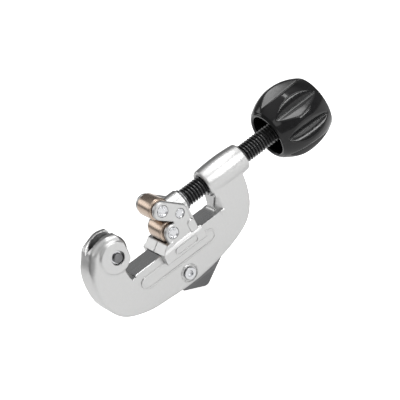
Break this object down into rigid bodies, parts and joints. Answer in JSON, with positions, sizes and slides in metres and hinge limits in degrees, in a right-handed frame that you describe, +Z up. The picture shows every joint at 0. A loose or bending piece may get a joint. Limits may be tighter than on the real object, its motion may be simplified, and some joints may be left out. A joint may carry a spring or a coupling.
{
  "type": "pipe cutter",
  "caption": "Screw-feed tubing cutter: C-shaped cast frame, cutting wheel in a hook, slide with two rollers on a rail, feed screw with fluted knob, folding reamer blade.",
  "frame": {"origin": "bottom centre of the bounding box, under the middle of the tool", "axes": "+X along the feed screw from the cutting wheel to the knob, +Y through the thickness of the tool, +Z up from the spine to the open throat"},
  "size_m": [0.1458, 0.036, 0.0638],
  "materials": {
    "casting": "satin silver coating on a metal casting",
    "hard_steel": "dark hardened steel",
    "zinc_steel": "bright zinc-plated steel",
    "bronze": "polished bronze, pinkish brown",
    "black_steel": "glossy black oxide",
    "dark_blade": "dark grey heat-treated blade",
    "black_plastic": "glossy black moulded plastic"
  },
  "bodies": {
    "frame": {"frame": "casting", "wheel_pin": "hard_steel", "wheel_pin_clip": "zinc_steel", "reamer_rivet": "zinc_steel", "reamer_spring_washer_near": "hard_steel", "reamer_spring_washer_far": "hard_steel"},
    "wheel": {"cutter_wheel": "hard_steel"},
    "slide": {"slide_near_half": "casting", "slide_far_half": "casting", "upper_roller_pin": "zinc_steel", "lower_roller_pin": "zinc_steel", "slide_rivet": "zinc_steel", "thrust_washer": "hard_steel"},
    "upper_roller": {"upper_roller": "bronze"},
    "lower_roller": {"lower_roller": "bronze"},
    "screw": {"feed_screw": "black_steel", "knob": "black_plastic", "knob_cross_pin": "hard_steel"},
    "reamer": {"reamer_blade": "dark_blade"}
  },
  "joints": [
    {"name": "slide_travel", "type": "slide", "parent": "frame", "child": "slide", "axis": [1, 0, 0], "range_m": [-0.0149, 0.0095]},
    {"name": "screw_turn", "type": "hinge", "parent": "slide", "child": "screw", "pos_m": [0.00393, 0, 0.0458], "axis": [1, 0, 0], "range_deg": [-3380, 2156]},
    {"name": "wheel_spin", "type": "hinge", "parent": "frame", "child": "wheel", "pos_m": [-0.05607, 0, 0.0458], "axis": [0, 1, 0], "continuous": true},
    {"name": "upper_roller_spin", "type": "hinge", "parent": "slide", "child": "upper_roller", "pos_m": [-0.02657, 0, 0.0522], "axis": [0, 1, 0], "continuous": true},
    {"name": "lower_roller_spin", "type": "hinge", "parent": "slide", "child": "lower_roller", "pos_m": [-0.02657, 0, 0.0394], "axis": [0, 1, 0], "continuous": true},
    {"name": "reamer_fold", "type": "hinge", "parent": "frame", "child": "reamer", "pos_m": [-0.02747, 0, 0.0149], "axis": [0, 1, 0], "range_deg": [0, 95]}
  ],
  "couplings": [
    {"joint": "screw_turn", "follows": "slide_travel", "rad_per_m": 3957.9}
  ]
}
